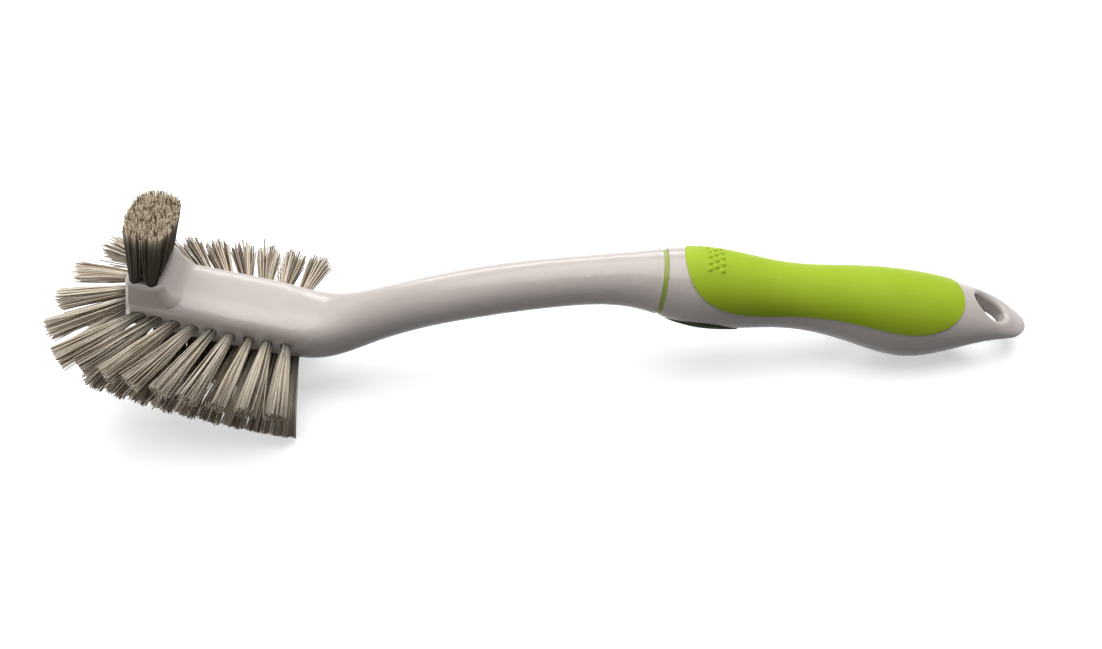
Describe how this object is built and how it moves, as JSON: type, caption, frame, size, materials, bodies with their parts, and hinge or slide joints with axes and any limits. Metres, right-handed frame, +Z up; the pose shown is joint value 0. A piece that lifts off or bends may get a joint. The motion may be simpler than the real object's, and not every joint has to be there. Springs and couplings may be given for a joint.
{
  "type": "dish brush",
  "caption": "Long-handled dish brush: fanned bristle head with an upright scrub block on its nose, rising neck, soft two-tone grip and a hanging hole in the tail.",
  "frame": {"origin": "centre of the bounding box's underside, on the floor under the resting brush", "axes": "+X from the bristle head to the tail, +Y to the right of a user who holds the grip with the head ahead, +Z up with the brush lying on its lower tufts and the belly of its grip"},
  "size_m": [0.2834, 0.0694, 0.0701],
  "materials": {
    "pale_shell": "satin gloss",
    "lime_grip": "satin, fine grain",
    "dark_grip": "matte",
    "bristle": "satin filament",
    "scrub_bristle": "satin filament",
    "staple_metal": "bright"
  },
  "bodies": {
    "root": {"brush_body": "pale_shell", "grip_panel": "lime_grip", "collar_ring": "lime_grip", "finger_pad": "dark_grip", "tuft_staples": "staple_metal", "centre_tufts": "bristle", "upper_tuft_left_1": "bristle", "upper_tuft_left_2": "bristle", "upper_tuft_left_3": "bristle", "upper_tuft_left_4": "bristle", "upper_tuft_left_5": "bristle", "upper_tuft_left_6": "bristle", "upper_tuft_left_7": "bristle", "upper_tuft_left_8": "bristle", "upper_tuft_left_9": "bristle", "upper_tuft_right_1": "bristle", "upper_tuft_right_2": "bristle", "upper_tuft_right_3": "bristle", "upper_tuft_right_4": "bristle", "upper_tuft_right_5": "bristle", "upper_tuft_right_6": "bristle", "upper_tuft_right_7": "bristle", "upper_tuft_right_8": "bristle", "upper_tuft_right_9": "bristle", "lower_tuft_left_1": "bristle", "lower_tuft_left_2": "bristle", "lower_tuft_left_3": "bristle", "lower_tuft_left_4": "bristle", "lower_tuft_left_5": "bristle", "lower_tuft_left_6": "bristle", "lower_tuft_left_7": "bristle", "lower_tuft_left_8": "bristle", "lower_tuft_left_9": "bristle", "lower_tuft_right_1": "bristle", "lower_tuft_right_2": "bristle", "lower_tuft_right_3": "bristle", "lower_tuft_right_4": "bristle", "lower_tuft_right_5": "bristle", "lower_tuft_right_6": "bristle", "lower_tuft_right_7": "bristle", "lower_tuft_right_8": "bristle", "lower_tuft_right_9": "bristle", "upper_tuft_front_1": "bristle", "upper_tuft_front_2": "bristle", "upper_tuft_front_3": "bristle", "lower_tuft_front_1": "bristle", "lower_tuft_front_2": "bristle", "scrub_tuft_1": "scrub_bristle", "scrub_tuft_2": "scrub_bristle", "scrub_tuft_3": "scrub_bristle", "scrub_tuft_4": "scrub_bristle", "scrub_tuft_5": "scrub_bristle", "scrub_tuft_6": "scrub_bristle", "scrub_tuft_7": "scrub_bristle", "scrub_tuft_8": "scrub_bristle", "scrub_tuft_9": "scrub_bristle", "scrub_tuft_10": "scrub_bristle"}
  },
  "joints": []
}
